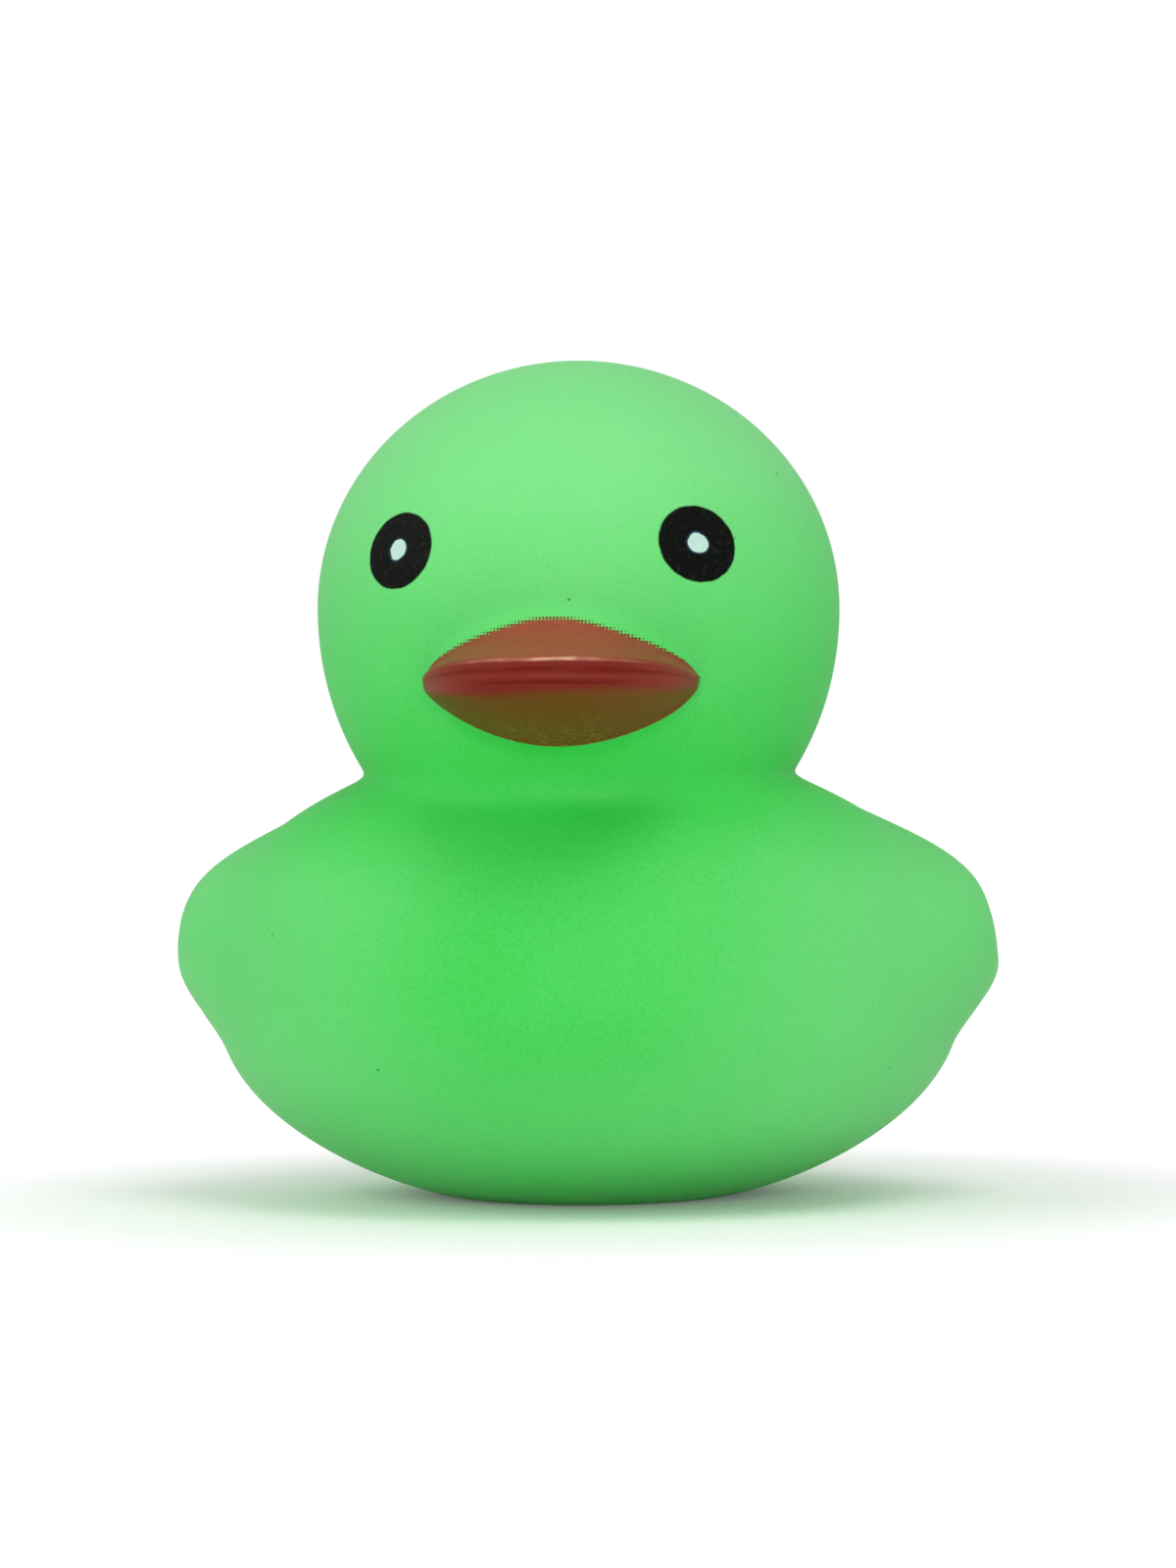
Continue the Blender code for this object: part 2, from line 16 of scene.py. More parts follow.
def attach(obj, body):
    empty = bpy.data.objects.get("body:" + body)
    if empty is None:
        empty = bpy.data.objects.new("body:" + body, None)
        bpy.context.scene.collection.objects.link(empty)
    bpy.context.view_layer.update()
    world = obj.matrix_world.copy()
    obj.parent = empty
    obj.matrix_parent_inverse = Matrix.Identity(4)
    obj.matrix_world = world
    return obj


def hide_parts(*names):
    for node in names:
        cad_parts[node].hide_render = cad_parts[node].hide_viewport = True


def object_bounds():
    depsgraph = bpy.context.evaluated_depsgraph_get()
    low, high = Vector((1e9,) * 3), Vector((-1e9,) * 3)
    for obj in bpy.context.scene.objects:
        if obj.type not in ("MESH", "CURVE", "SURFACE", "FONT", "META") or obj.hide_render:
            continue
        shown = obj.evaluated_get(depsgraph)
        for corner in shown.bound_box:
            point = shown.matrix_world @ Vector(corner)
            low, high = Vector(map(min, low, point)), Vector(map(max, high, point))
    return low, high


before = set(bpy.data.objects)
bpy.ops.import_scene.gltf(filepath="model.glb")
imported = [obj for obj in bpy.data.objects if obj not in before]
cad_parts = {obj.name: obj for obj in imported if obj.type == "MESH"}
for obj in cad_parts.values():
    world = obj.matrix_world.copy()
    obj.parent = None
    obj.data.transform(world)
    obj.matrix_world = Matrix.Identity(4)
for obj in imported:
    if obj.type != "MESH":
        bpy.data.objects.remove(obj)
CAD_BOX = [list(map(float, corner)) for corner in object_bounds()]
print("nodes:", sorted(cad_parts), "box:", np.round(CAD_BOX, 4).tolist())

# %% [markdown]
# ## Sizes
#
# Every size is in millimetres and is turned into metres once, where a mesh is made. Widths and heights
# were measured on the photograph at about 17 pixels a millimetre. It shows no depth, so the length, the
# tail, the base and the squeaker are guessed from how small bath ducks are usually made. The duck looks
# along -Y, so its beak is the lowest y and its tail the highest.

# %% Sizes of the duck
MM = 0.001
TOTAL_LENGTH, TOTAL_HEIGHT = 56.0, 50.0

HEAD_RADIUS, HEAD_ABOVE, HEAD_BELOW = 15.5, 14.7, 17.05
HEAD_Y, HEAD_Z = -5.3, TOTAL_HEIGHT - HEAD_ABOVE

NECK_Z, NECK_FRONT_DROP, NECK_BACK_RISE = 25.4, 1.0, 0.5
NECK_ROUND_SIDE, NECK_ROUND_FRONT, NECK_ROUND_SPREAD = 0.45, 1.5, 4.0

BODY_HALF_WIDTH, BODY_WIDEST_Z, BODY_Y = 22.4, 11.3, 1.0
BREAST_Y, BREAST_Z = -22.3, 13.0
BILGE_POWER, SHOULDER_POWER, BREAST_POWER = 1.35, 3.4, 2.3
BASE_Y, BASE_HALF_WIDTH, BASE_FRONT, BASE_BACK = 2.5, 8.2, 9.0, 9.5
RUMP_Y, TAIL_Z, TAIL_SHARPNESS, TAIL_EASE, LOW_SHARE = 20.5, 25.0, 16, 0.3, 0.52

WING_Y, WING_Z, WING_HALF_LENGTH, WING_HALF_HEIGHT = 3.0, 17.4, 15.5, 7.85
WING_OUT, WING_TILT, WING_TAPER, WING_EDGE = 2.4, math.radians(14), 0.5, 0.61
WING_INNER_X, WING_FADE = 7.0, 6.0

BEAK_TIP_Y, BEAK_HALF_ANGLE, BEAK_CORNER_Z = -TOTAL_LENGTH / 2, math.radians(31.9), 30.65
BEAK_RISE, BEAK_DROP, BEAK_CORNER_HALF = 3.95, 3.45, 0.4
BEAK_TOP_POWER, BEAK_UNDER_POWER, BEAK_PLAN_POWER = 1.05, 0.85, 0.55
LIP_TOP_Z, LIP_LOW_Z, LIP_SET_BACK = 32.1, 30.1, 0.06
LIP_LOW_AT, LIP_TOP_AT = 0.4, 0.6
UNDER_FULLNESS, TOP_HOLLOW, BEHIND_BEAK_HALF, BEHIND_BEAK_TURN = 0.5, 0.35, 3.0, 1.2

SEAT_RADIUS, SEAT_GROOVE_RADIUS, SEAT_GROOVE_Z, SEAT_TOP = 4.5, 5.1, (2.3, 3.7), 6.8
print("duck:", TOTAL_LENGTH, "mm long,", TOTAL_HEIGHT, "mm tall")

# %% [markdown]
# ## Two curves that everything uses
#
# A moulded toy has no straight joins: one form always flows into the next. Two small helpers give that
# flow. The first eases a number from 0 to 1, the second draws a soft line through the neighbourhood of a
# few guide points, the way a bent batten would.


# %% Easing and soft lines
def smooth_step(x):
    """3x^2 - 2x^3, with x held between 0 and 1."""
    x = np.clip(x, 0, 1)
    return x * x * (3 - 2 * x)


def soft_line(points, t):
    """A cubic B-spline: each place is a blend of four guide points with weights that always add up to 1."""
    p = np.asarray(points, float)
    p = np.vstack([2 * p[0] - p[1], p, 2 * p[-1] - p[-2]])
    spans = len(p) - 3
    along = np.clip(t * spans, 0, spans - 1e-9)
    first = along.astype(int)
    f = (along - first)[:, None]
    weights = ((1 - f) ** 3, 3 * f**3 - 6 * f**2 + 4, -3 * f**3 + 3 * f**2 + 3 * f + 1, f**3)
    return sum(w * p[first + k] for k, w in enumerate(weights)) / 6


def head_radius(z):
    """Half-width of the ball of the head at height z: an ellipse that is flatter above than below."""
    up = z - HEAD_Z
    high = np.where(up > 0, HEAD_ABOVE, HEAD_BELOW)
    return HEAD_RADIUS * np.sqrt(np.clip(1 - (up / high) ** 2, 0, 1))


print("neck is", round(2 * float(head_radius(NECK_Z)), 1), "mm across")

# %% [markdown]
# ## The grid
#
# The whole skin is one grid. Columns run round the duck by their angle from the breast, and rows climb
# from the squeaker's seat, over the base, up the body and head to the crown. The columns stand closer
# together at the beak's corners, where the form turns fastest.

# %% Columns and rows
BEAK_COLUMNS, SIDE_COLUMNS = 30, 92
EVEN_SHARE, EASED_SHARE = 0.7, 0.3
BASE_ROWS, BILGE_ROWS, SHOULDER_ROWS = 8, 46, 58
CHIN_ROWS, BEAK_ROWS, CROWN_ROWS = 22, 70, 56


def half_turns():
    """Angles from 0 to pi: a quarter sine up to the beak's corner, then nearly even steps to the tail."""
    beak = BEAK_HALF_ANGLE * np.sin(np.linspace(0, math.pi / 2, BEAK_COLUMNS + 1))
    w = np.linspace(0, 1, SIDE_COLUMNS + 1)[1:]
    eased = EVEN_SHARE * w + EASED_SHARE * (1 - np.cos(math.pi * w)) / 2
    return np.concatenate([beak, BEAK_HALF_ANGLE + (math.pi - BEAK_HALF_ANGLE) * eased])


half = half_turns()
TURNS = np.concatenate([half, -half[-2:0:-1]])
ROUND = np.abs(TURNS)
print(len(TURNS), "columns round the duck")

# %% [markdown]
# ## The body
#
# The real body is one blown form, so it is drawn by its outlines: the line of the breast, the line of the
# side and the line of the rump. Each row of the grid is a ring of quarters of ellipses between the three,
# and the tail is a second back line that takes over close to the middle, which makes it narrow.


# %% The four lines of the body
def outline(base, widest, neck, lower, upper):
    """base + (widest - base) lower up to the widest level, then neck + (widest - neck) upper."""
    return np.concatenate([base + (widest - base) * lower, neck + (widest - neck) * upper])


def back_lines(t):
    """Soft lines through the guide points of rump and tail, the tail's stretched to the duck's length."""
    nape_z, heel, tip = NECK_Z + NECK_BACK_RISE, BASE_Y + BASE_BACK, TOTAL_LENGTH / 2
    nape_y = HEAD_Y + head_radius(nape_z)
    rump_guide = [
        (heel, 0.0),
        (heel + 4.0, 0.6),
        (RUMP_Y - 1.6, 5.0),
        (RUMP_Y + 0.3, 11.0),
        (RUMP_Y - 0.8, 16.5),
        (RUMP_Y - 4.0, 19.6),
        (nape_y + 5.0, 21.3),
        (nape_y + 1.6, nape_z - 2.2),
        (nape_y, nape_z),
    ]
    tail_guide = [
        (heel, 0.0),
        (heel + 4.0, 0.6),
        (RUMP_Y, 5.0),
        (RUMP_Y + 3.2, 11.5),
        (tip - 2.6, TAIL_Z - 6.3),
        (tip, TAIL_Z - 2.4),
        (tip, TAIL_Z + 0.4),
        (tip - 3.6, TAIL_Z - 1.4),
        (tip - 8.5, TAIL_Z - 4.0),
        (nape_y + 4.5, 20.6),
        (nape_y + 1.6, nape_z - 2.6),
        (nape_y, nape_z),
    ]
    rump, tail = soft_line(rump_guide, t), soft_line(tail_guide, t)
    tail[:, 0] += (tip - tail[:, 0].max()) * smooth_step(t / TAIL_EASE) * smooth_step((1 - t) / TAIL_EASE)
    return rump, tail


def body_lines():
    """Breast, side, rump and tail: sin^(2 / power) up to the widest level, then 1 - s^power to the neck."""
    turn = np.linspace(0, math.pi / 2, BILGE_ROWS)
    out, up = np.sin(turn) ** (2 / BILGE_POWER), 1 - np.cos(turn)
    s = np.linspace(0, 1, SHOULDER_ROWS + 1)[1:]
    inward, down = 1 - s**SHOULDER_POWER, 1 - s
    breast_inward = 1 - s**BREAST_POWER
    side = [
        outline(BASE_HALF_WIDTH, BODY_HALF_WIDTH, head_radius(NECK_Z), out, inward),
        outline(BASE_Y, BODY_Y, HEAD_Y, out, down),
        outline(0, BODY_WIDEST_Z, NECK_Z, up, down),
    ]
    front_z = NECK_Z - NECK_FRONT_DROP
    front_y = HEAD_Y - head_radius(front_z)
    breast = [
        outline(BASE_Y - BASE_FRONT, BREAST_Y, front_y, out, breast_inward),
        outline(0, BREAST_Z, front_z, up, down),
    ]
    t = np.concatenate([np.linspace(0, LOW_SHARE, BILGE_ROWS), LOW_SHARE + (1 - LOW_SHARE) * s])
    return np.stack(breast, 1), np.stack(side, 1), *back_lines(t)


def body_rings():
    """x = side sin u, and y and z go from the side's to the end's by cos u and its square, plus the tail's
    lead over the rump times a high power of cos u."""
    breast, side, rump, tail = body_lines()
    c = np.cos(TURNS)
    rings = [side[:, :1] * np.sin(TURNS)]
    for axis, power in ((1, 1), (2, 2)):
        middle, back = side[:, axis : axis + 1], rump[:, axis - 1 : axis]
        end = np.where(c > 0, breast[:, axis - 1 : axis], back)
        narrow = np.where(c < 0, np.abs(c) ** TAIL_SHARPNESS, 0)
        lead = (tail[:, axis - 1 : axis] - back) * narrow
        rings.append(middle + (end - middle) * np.abs(c) ** power + lead)
    return np.stack(rings, 2)


body = body_rings()
print("body rings:", body.shape, "widest", round(float(np.ptp(body[..., 0])), 1), "mm")

# %% [markdown]
# ## The wings
#
# The wings aren't parts of their own: the mould only swells there. A wing is a tilted teardrop on the
# duck's side, and inside it the skin moves straight outwards, quickly at the teardrop's edge and evenly
# over the rest.


# %% Swell the wings
def with_wings(rings):
    """Adds to |x| the wing's depth times a smooth step of the distance inside a tapered ellipse."""
    x, y, z = np.moveaxis(rings, -1, 0)
    dy, dz = y - WING_Y, z - WING_Z
    along = (dy * math.cos(WING_TILT) + dz * math.sin(WING_TILT)) / WING_HALF_LENGTH
    across = (dz * math.cos(WING_TILT) - dy * math.sin(WING_TILT)) / WING_HALF_HEIGHT
    taper = 1 - WING_TAPER * np.clip(along, 0, 1)
    reach = np.hypot(along, across / taper)
    lobe = smooth_step((1 - reach) / WING_EDGE) * smooth_step((np.abs(x) - WING_INNER_X) / WING_FADE)
    out = rings.copy()
    out[..., 0] += np.sign(x) * WING_OUT * lobe
    return out


body = with_wings(body)
print("over the wings:", round(float(np.ptp(body[..., 0])), 1), "mm")

# %% [markdown]
# ## The head and the beak
#
# The head is a ball, and the beak is drawn forward out of its rows, so that bill and head are one skin, as
# they are in the mould. Each column crosses the beak from the underside over the lip to the top. A lens
# shape gives where the beak begins and ends, and half an ellipse gives its outline from above. Two shallow
# grooves along the lip are the closed mouth.


# %% The beak's borders and its section
def beak_limits():
    """Lens shape: height over and under the corner is a power of 1 - (u / corner angle)^2."""
    share = np.clip(1 - (ROUND / BEAK_HALF_ANGLE) ** 2, 0, 1)
    behind = smooth_step((ROUND - BEAK_HALF_ANGLE) / BEHIND_BEAK_TURN)
    behind = behind * (BEHIND_BEAK_HALF - BEAK_CORNER_HALF)
    low = BEAK_CORNER_HALF + (BEAK_DROP - BEAK_CORNER_HALF) * share**BEAK_UNDER_POWER + behind
    high = BEAK_CORNER_HALF + (BEAK_RISE - BEAK_CORNER_HALF) * share**BEAK_TOP_POWER + behind
    return BEAK_CORNER_Z - low, BEAK_CORNER_Z + high, share


# Each groove: its place across the lip (0 low, 1 top), its half-width there, its share of the beak's reach
MOUTH_GROOVES = ((0.30, 0.08, 0.03), (0.65, 0.09, 0.02))


def beak_section(t, low, high, share):
    """Forward share and height of each row: out under the bill, up the lip and its grooves, back on top."""
    opened = share**0.5
    half_lip = (high - low) * (LIP_TOP_AT - LIP_LOW_AT) / 2 * (1 - opened)
    half_lip = half_lip + (LIP_TOP_Z - LIP_LOW_Z) / 2 * opened
    middle = BEAK_CORNER_Z * (1 - opened) + (LIP_LOW_Z + LIP_TOP_Z) / 2 * opened
    lip_low, lip_top = middle - half_lip, middle + half_lip
    under = np.clip(t / LIP_LOW_AT, 0, 1)
    over = np.clip((1 - t) / (1 - LIP_TOP_AT), 0, 1)
    across = np.clip((t - LIP_LOW_AT) / (LIP_TOP_AT - LIP_LOW_AT), 0, 1)
    below = low + (lip_low - low) * under ** (1 + UNDER_FULLNESS * opened)
    above = high + (lip_top - high) * over ** (1 - TOP_HOLLOW * opened)
    at_lip = lip_low + (lip_top - lip_low) * across
    height = np.where(t < LIP_LOW_AT, below, np.where(t > LIP_TOP_AT, above, at_lip))
    forward = np.where(t < LIP_LOW_AT, under, np.where(t > LIP_TOP_AT, over, 1))
    forward = forward * (1 - LIP_SET_BACK * (2 * across - 1) ** 2)
    forward = forward / forward.max()
    for at, width, depth in MOUTH_GROOVES:
        forward = forward - depth * np.exp(-(((across - at) / width) ** 2))
    return forward, height


def head_rings(neck_z):
    """Ball rows from the neck to the crown; between the beak's borders y moves to the lip's line."""
    low, high, share = beak_limits()
    chin = np.linspace(0, 1, CHIN_ROWS + 1)[1:-1, None]
    t = np.linspace(0, 1, BEAK_ROWS + 1)[:, None]
    forward, height = beak_section(t, low, high, share)
    lift = np.arcsin(np.clip((high - HEAD_Z) / HEAD_BELOW, -1, 1))
    slope = lift + (math.pi / 2 - lift) * np.linspace(0, 1, CROWN_ROWS + 1)[1:, None]
    top = HEAD_Z + np.where(slope > 0, HEAD_ABOVE, HEAD_BELOW) * np.sin(slope)
    z = np.vstack([neck_z + (low - neck_z) * chin, height, top])
    radius = head_radius(z)
    x, y = radius * np.sin(TURNS), HEAD_Y - radius * np.cos(TURNS)
    rows = slice(CHIN_ROWS - 1, CHIN_ROWS + BEAK_ROWS)
    corner_y = HEAD_Y - head_radius(BEAK_CORNER_Z) * math.cos(BEAK_HALF_ANGLE)
    lip_y = corner_y + (BEAK_TIP_Y - corner_y) * share**BEAK_PLAN_POWER
    y[rows] += (lip_y - y[rows]) * forward * (ROUND <= BEAK_HALF_ANGLE)
    return np.stack([x, y, z], 2)


head = head_rings(body[-1, :, 2])
print("head rings:", head.shape, "beak tip at y", round(float(head[..., 1].min()), 2), "mm")

# %% [markdown]
# ## The base and the squeaker's seat
#
# The base is flat, with a round hole for the squeaker. The hole's wall has a groove that the squeaker's
# rib snaps into. This skin has no inner wall, so its hole ends in a roof just above the squeaker. The
# rows start in the middle of that roof, come down the wall, turn the rounded rim and run out over the
# base to the body's first ring.


# %% Seat and base rings
# The rim is a quarter round in three steps; a step of 30 degrees leaves 1 - cos 30, about 0.13
RIM_ROUND, RIM_BEND = 0.25, 0.13


def seat_rings():
    """Circles about the base's middle whose radius and height follow the seat's turned profile."""
    low, high = SEAT_GROOVE_Z
    lead = (SEAT_GROOVE_RADIUS - SEAT_RADIUS) / 2
    profile = [
        (0, SEAT_TOP),
        (SEAT_RADIUS / 2, SEAT_TOP),
        (SEAT_RADIUS, SEAT_TOP),
        (SEAT_RADIUS, (SEAT_TOP + high) / 2),
        (SEAT_RADIUS, high),
        (SEAT_GROOVE_RADIUS, high - lead),
        (SEAT_GROOVE_RADIUS, low + lead),
        (SEAT_RADIUS, low),
        (SEAT_RADIUS, low / 2),
        (SEAT_RADIUS, RIM_ROUND),
        (SEAT_RADIUS + RIM_ROUND * RIM_BEND, RIM_ROUND / 2),
        (SEAT_RADIUS + RIM_ROUND / 2, RIM_ROUND * RIM_BEND),
        (SEAT_RADIUS + RIM_ROUND, 0),
        (SEAT_RADIUS + 2 * RIM_ROUND, 0),
    ]
    radius, height = np.array(profile)[:, :, None].transpose(1, 0, 2)
    return np.stack([radius * np.sin(TURNS), BASE_Y - radius * np.cos(TURNS), height + 0 * TURNS], 2)


seat = seat_rings()
share = (np.arange(1, BASE_ROWS + 1) / (BASE_ROWS + 1))[:, None, None]
base = seat[-1:] + (body[:1] - seat[-1:]) * share
SKIN = np.concatenate([seat, base, body, head])
NECK_ROW = len(seat) + len(base) + len(body) - 1
BEAK_ROW = NECK_ROW + CHIN_ROWS
print("the skin's grid:", SKIN.shape[:2], "neck at row", NECK_ROW, "beak from row", BEAK_ROW)

# %% [markdown]
# ## Rounding the creases
#
# Where head and body meet the mould has no sharp line, and neither has the beak's root. A crease is
# rounded by averaging each row with its neighbours, weighted by a bell curve of the distance along the
# column. The reach of the bell fades away from the crease, so the rest of the duck stays as drawn.
# Rounding moves the tip and the widest point by a hair, so the tip is held at its size and the width is set
# to the solids' own.

# %% Average rows near a crease
ROOT_LOW_ROUND, ROOT_TOP_ROUND, LIP_EDGE_ROUND, BEAK_ROUND_SPREAD = 0.5, 0.7, 0.12, 1.2
CORNER_EASE, SMALLEST_BELL = 0.25, 0.02


def soften(rings, row, reach, spread, columns=1.0):
    """Row i moves, by its column's share, to the bell-weighted mean of all rows; the reach fades over the
    spread."""
    steps = np.linalg.norm(np.diff(rings, axis=0), axis=2).mean(1)
    run = np.concatenate([[0], np.cumsum(steps)])
    near = np.exp(-(((run - run[row]) / spread) ** 2))
    bell = np.maximum(reach * near, SMALLEST_BELL)[:, None]
    kernel = np.exp(-(((run[:, None] - run) / bell) ** 2) / 2) * np.gradient(run)
    kernel /= kernel.sum(1, keepdims=True)
    smooth = np.einsum("ij,jkl->ikl", kernel, rings)
    return rings + (smooth - rings) * columns


ahead = (np.cos(TURNS) ** 2)[None, :, None]
softer = soften(SKIN, NECK_ROW, NECK_ROUND_FRONT, NECK_ROUND_SPREAD)
SKIN = soften(SKIN, NECK_ROW, NECK_ROUND_SIDE, NECK_ROUND_SPREAD)
SKIN = SKIN + (softer - SKIN) * ahead
beak_share = beak_limits()[2]
on_beak = smooth_step(beak_share / CORNER_EASE)[None, :, None]
lip_low_row = BEAK_ROW + round(LIP_LOW_AT * BEAK_ROWS)
lip_top_row = BEAK_ROW + round(LIP_TOP_AT * BEAK_ROWS)
beak_creases = (
    (BEAK_ROW, ROOT_LOW_ROUND),
    (BEAK_ROW + BEAK_ROWS, ROOT_TOP_ROUND),
    (lip_low_row, LIP_EDGE_ROUND),
    (lip_top_row, LIP_EDGE_ROUND),
)
for row, reach in beak_creases:
    SKIN = soften(SKIN, row, reach, BEAK_ROUND_SPREAD, on_beak)
SKIN[..., 1] = np.maximum(SKIN[..., 1], BEAK_TIP_Y)
SKIN[..., 0] *= CAD_BOX[1][0] / MM / SKIN[..., 0].max()
print("after rounding:", np.round(SKIN.reshape(-1, 3).min(0), 2), np.round(SKIN.reshape(-1, 3).max(0), 2))

# %% [markdown]
# ## Marks for the paint
#
# The beak's paint follows the surface, so two numbers travel with each point of the skin: how far it lies
# inside the painted border, in millimetres, and how far round the beak's section it is, from the root of
# the underside (0) over the lip to the root of the top (1). The paint doesn't reach the form's own borders
# everywhere: below it falls short towards the corners, and above it does half way to them, a little
# unevenly on the two sides.

# %% Distance inside the paint, and place round the beak
TOP_PAINT_SHORT, TOP_PAINT_ASKEW = 0.4, 0.1
LOW_PAINT_SHORT, LOW_PAINT_ASKEW, CORNER_POWER = 0.5, 0.6, 10


def paint_marks(rings):
    """Smallest of three ways: along the column to either border, less what the paint falls short there,
    and along the row to the corner."""
    steps = np.linalg.norm(np.diff(rings, axis=0), axis=2)
    run = np.vstack([np.zeros(rings.shape[1]), np.cumsum(steps, axis=0)])
    to_side = np.clip(TURNS / BEAK_HALF_ANGLE, -1, 1)
    flank = np.sin(to_side * math.pi)
    short = smooth_step(np.abs(to_side)) * (1 - to_side * LOW_PAINT_ASKEW)
    short = short + np.clip(to_side, 0, 1) ** CORNER_POWER
    from_low = run - run[BEAK_ROW] - LOW_PAINT_SHORT * short
    from_high = run[BEAK_ROW + BEAK_ROWS] - run - TOP_PAINT_SHORT * flank**2 - TOP_PAINT_ASKEW * flank
    from_corner = (BEAK_HALF_ANGLE - ROUND) * HEAD_RADIUS * np.ones((len(rings), 1))
    inside = np.minimum(np.minimum(from_low, from_high), from_corner)
    place = np.clip((np.arange(len(rings)) - BEAK_ROW) / BEAK_ROWS, 0, 1)[:, None] + 0 * ROUND
    return inside, place


inside_paint, beak_place = paint_marks(SKIN)
print("deepest point in the paint:", round(float(inside_paint.max()), 2), "mm from its edge")

# %% [markdown]
# ## From grid to mesh
#
# A mesh wants points, and faces that name their corners. On a grid both can be worked out for all faces at
# once. The first ring and the last are single points, so the skin is closed with a fan of triangles there.


# %% Put a closed grid into a mesh
def grid_mesh(name, rings, marks=None):
    """Rows of rings become quads between neighbours; first and last ring each shrink to one pole."""
    rows, columns = rings.shape[:2]
    middle = rings[1:-1].reshape(-1, 3)
    points = np.vstack([rings[:1, 0], middle, rings[-1:, 0]]) * MM
    ring = np.arange(columns)
    after = (ring + 1) % columns
    start = 1 + np.arange(rows - 3)[:, None] * columns
    quads = np.stack([start + ring, start + after, start + columns + after, start + columns + ring], 2)
    last, top = 1 + (rows - 3) * columns, len(points) - 1
    pole_low = np.stack([0 * ring, 1 + after, 1 + ring], 1)
    pole_top = np.stack([last + ring, last + after, 0 * ring + top], 1)
    corners = np.concatenate([quads.reshape(-1), pole_low.ravel(), pole_top.ravel()])
    sizes = np.concatenate([np.full(quads.size // 4, 4), np.full(2 * columns, 3)])
    mesh = bpy.data.meshes.new(name)
    mesh.vertices.add(len(points))
    mesh.loops.add(len(corners))
    mesh.polygons.add(len(sizes))
    mesh.vertices.foreach_set("co", points.astype(np.float32).ravel())
    mesh.loops.foreach_set("vertex_index", corners.astype(np.int32))
    mesh.polygons.foreach_set("loop_start", (np.cumsum(sizes) - sizes).astype(np.int32))
    mesh.update(calc_edges=True)
    for mark, values in (marks or {}).items():
        flat = np.concatenate([values[0, :1], values[1:-1].ravel(), values[-1, :1]])
        mesh.attributes.new(mark, "FLOAT", "POINT").data.foreach_set("value", flat.astype(np.float32))
    mesh.validate()
    mesh.shade_smooth()
    made = bpy.data.objects.new(name, mesh)
    bpy.context.scene.collection.objects.link(made)
    print(name, "has", len(mesh.polygons), "faces")
    return made


duck_skin = grid_mesh("duck_skin", SKIN, {"inside_paint": inside_paint, "beak_place": beak_place})

# %% [markdown]
# ## Shader maths as sentences
#
# Vinyl, paint and print are one material, because they are one surface: masks choose between them. The
# masks are plain arithmetic, so a small class lets a socket be added, multiplied and compared like a
# number, and each operation becomes a Math node.


# %% A socket that does sums
class Signal:
    """A node's output, or a number, in one material's node tree."""

    def __init__(self, tree, socket):
        self.tree, self.socket = tree, socket

    def made(self, kind, settings=None, inputs=None, output=0):
        """Adds one node: its type, then its settings, then the values or links of its sockets."""
        node = self.tree.nodes.new(kind)
        for key, value in (settings or {}).items():
            setattr(node, key, value)
        for key, value in (inputs or {}).items():
            if isinstance(value, Signal):
                self.tree.links.new(value.socket, node.inputs[key])
            else:
                node.inputs[key].default_value = value
        return Signal(self.tree, node.outputs[output])

    def maths(self, operation, *others, clamp=False):
        """One sum on this number and the others, in that order."""
        inputs = {k: v for k, v in enumerate((self, *others))}
        return self.made("ShaderNodeMath", {"operation": operation, "use_clamp": clamp}, inputs)

    def reflected(self, operation, other):
        """The same with this number in second place, as in 1 - mask."""
        return self.made("ShaderNodeMath", {"operation": operation}, {0: other, 1: self})

    def __add__(self, other):
        return self.maths("ADD", other)

    def __radd__(self, other):
        return self.maths("ADD", other)

    def __sub__(self, other):
        return self.maths("SUBTRACT", other)

    def __rsub__(self, other):
        return self.reflected("SUBTRACT", other)

    def __mul__(self, other):
        return self.maths("MULTIPLY", other)

    def __rmul__(self, other):
        return self.maths("MULTIPLY", other)

    def __truediv__(self, other):
        return self.maths("DIVIDE", other)

    def clamped(self):
        """Itself times 1, held between 0 and 1."""
        return self.maths("MULTIPLY", 1.0, clamp=True)

    def step(self, low, high):
        """Eases from 0 at low to 1 at high."""
        settings = {"interpolation_type": "SMOOTHSTEP"}
        return self.made("ShaderNodeMapRange", settings, {"Value": self, "From Min": low, "From Max": high})

    def dot(self, vector):
        """x X + y Y + z Z: how far a place lies along a direction."""
        settings = {"operation": "DOT_PRODUCT"}
        return self.made("ShaderNodeVectorMath", settings, {0: self, 1: vector}, "Value")

    def minus(self, vector):
        """Each coordinate less the vector's."""
        return self.made("ShaderNodeVectorMath", {"operation": "SUBTRACT"}, {0: self, 1: vector})

    def times(self, vector):
        """Each coordinate times the vector's."""
        return self.made("ShaderNodeVectorMath", {"operation": "MULTIPLY"}, {0: self, 1: vector})

    def line(self, middle, half_width):
        """1 at the middle, easing to 0 a half-width away on either side."""
        return self.step(middle - half_width, middle) * (1 - self.step(middle, middle + half_width))

    def colour(self, low, high):
        """Mixes two colours, self being the share of the second."""
        values = {0: self}
        for key, value in ((6, low), (7, high)):
            values[key] = value if isinstance(value, Signal) else (*value, 1)
        return self.made("ShaderNodeMix", {"data_type": "RGBA"}, values, 2)

    def noise(self, scale, detail=2.0, roughness=0.5):
        """Soft noise between 0 and 1, with this many bumps a metre."""
        inputs = {"Vector": self, "Scale": scale, "Detail": detail, "Roughness": roughness}
        return self.made("ShaderNodeTexNoise", {}, inputs)

    def cells(self, feature, scale):
        """Scattered cells: the distance to the nearest centre (F1) or to the cell's edge."""
        inputs = {"Vector": self, "Scale": scale, "Randomness": 1.0}
        return self.made("ShaderNodeTexVoronoi", {"feature": feature}, inputs)


